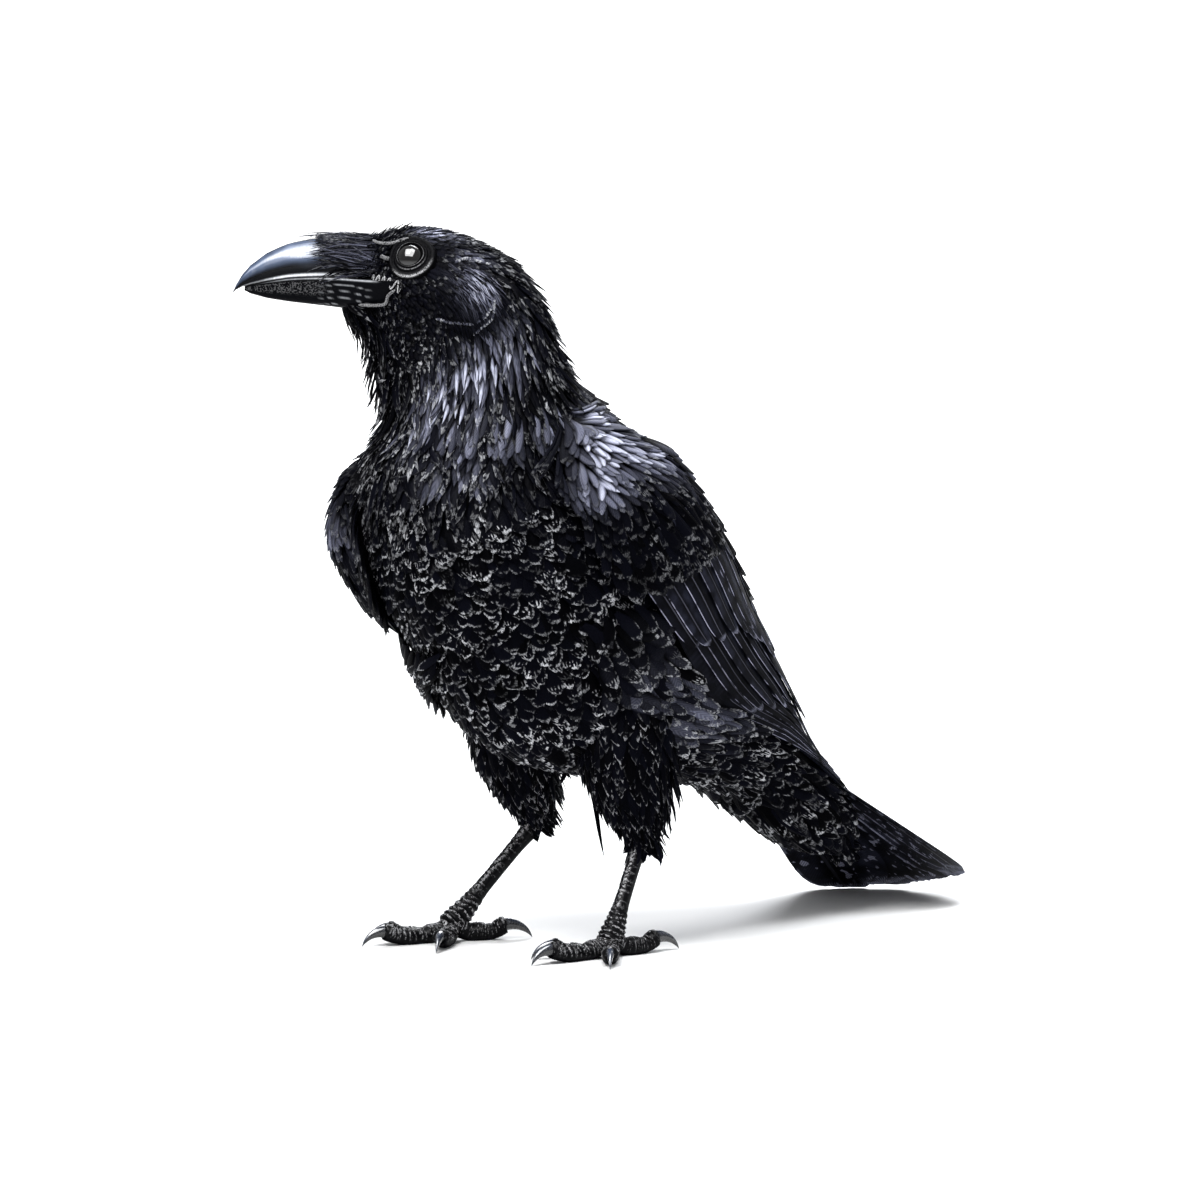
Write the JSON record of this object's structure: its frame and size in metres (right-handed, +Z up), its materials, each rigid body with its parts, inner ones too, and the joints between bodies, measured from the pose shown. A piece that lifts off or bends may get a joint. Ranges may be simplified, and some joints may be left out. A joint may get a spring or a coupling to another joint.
{
  "type": "raven model",
  "caption": "Life-size still model of a common raven standing with folded wings, head turned to its right.",
  "frame": {"origin": "on the floor, at the bottom centre of the bird's bounding box", "axes": "+Z up; the body faces -Y, its left side is +X and its tail points to +Y; the head is turned 40 degrees to the bird's right"},
  "size_m": [0.1796, 0.4268, 0.3964],
  "materials": {
    "plumage": "blue-black contour feathers with a satin gloss",
    "flight_feather": "black wing and tail quills with a violet-blue gloss",
    "bill_horn": "smooth black horn, steel-grey highlight along the culmen",
    "claw_horn": "polished black horn",
    "scaled_skin": "dark grey scaled skin",
    "eye": "very dark brown, wet gloss"
  },
  "bodies": {
    "root": {"head": "plumage", "neck": "plumage", "breast": "plumage", "belly": "plumage", "mantle": "plumage", "eye_left": "eye", "eye_right": "eye", "bill_upper": "bill_horn", "bill_lower": "bill_horn", "wing_left_shoulder": "plumage", "wing_left_secondaries": "flight_feather", "wing_left_primaries": "flight_feather", "wing_right_shoulder": "plumage", "wing_right_secondaries": "flight_feather", "wing_right_primaries": "flight_feather", "tail": "flight_feather", "thigh_left": "plumage", "thigh_right": "plumage", "foot_left": "scaled_skin", "foot_right": "scaled_skin", "claw_left_middle": "claw_horn", "claw_left_outer": "claw_horn", "claw_left_inner": "claw_horn", "claw_left_hind": "claw_horn", "claw_right_middle": "claw_horn", "claw_right_outer": "claw_horn", "claw_right_inner": "claw_horn", "claw_right_hind": "claw_horn"}
  },
  "joints": []
}
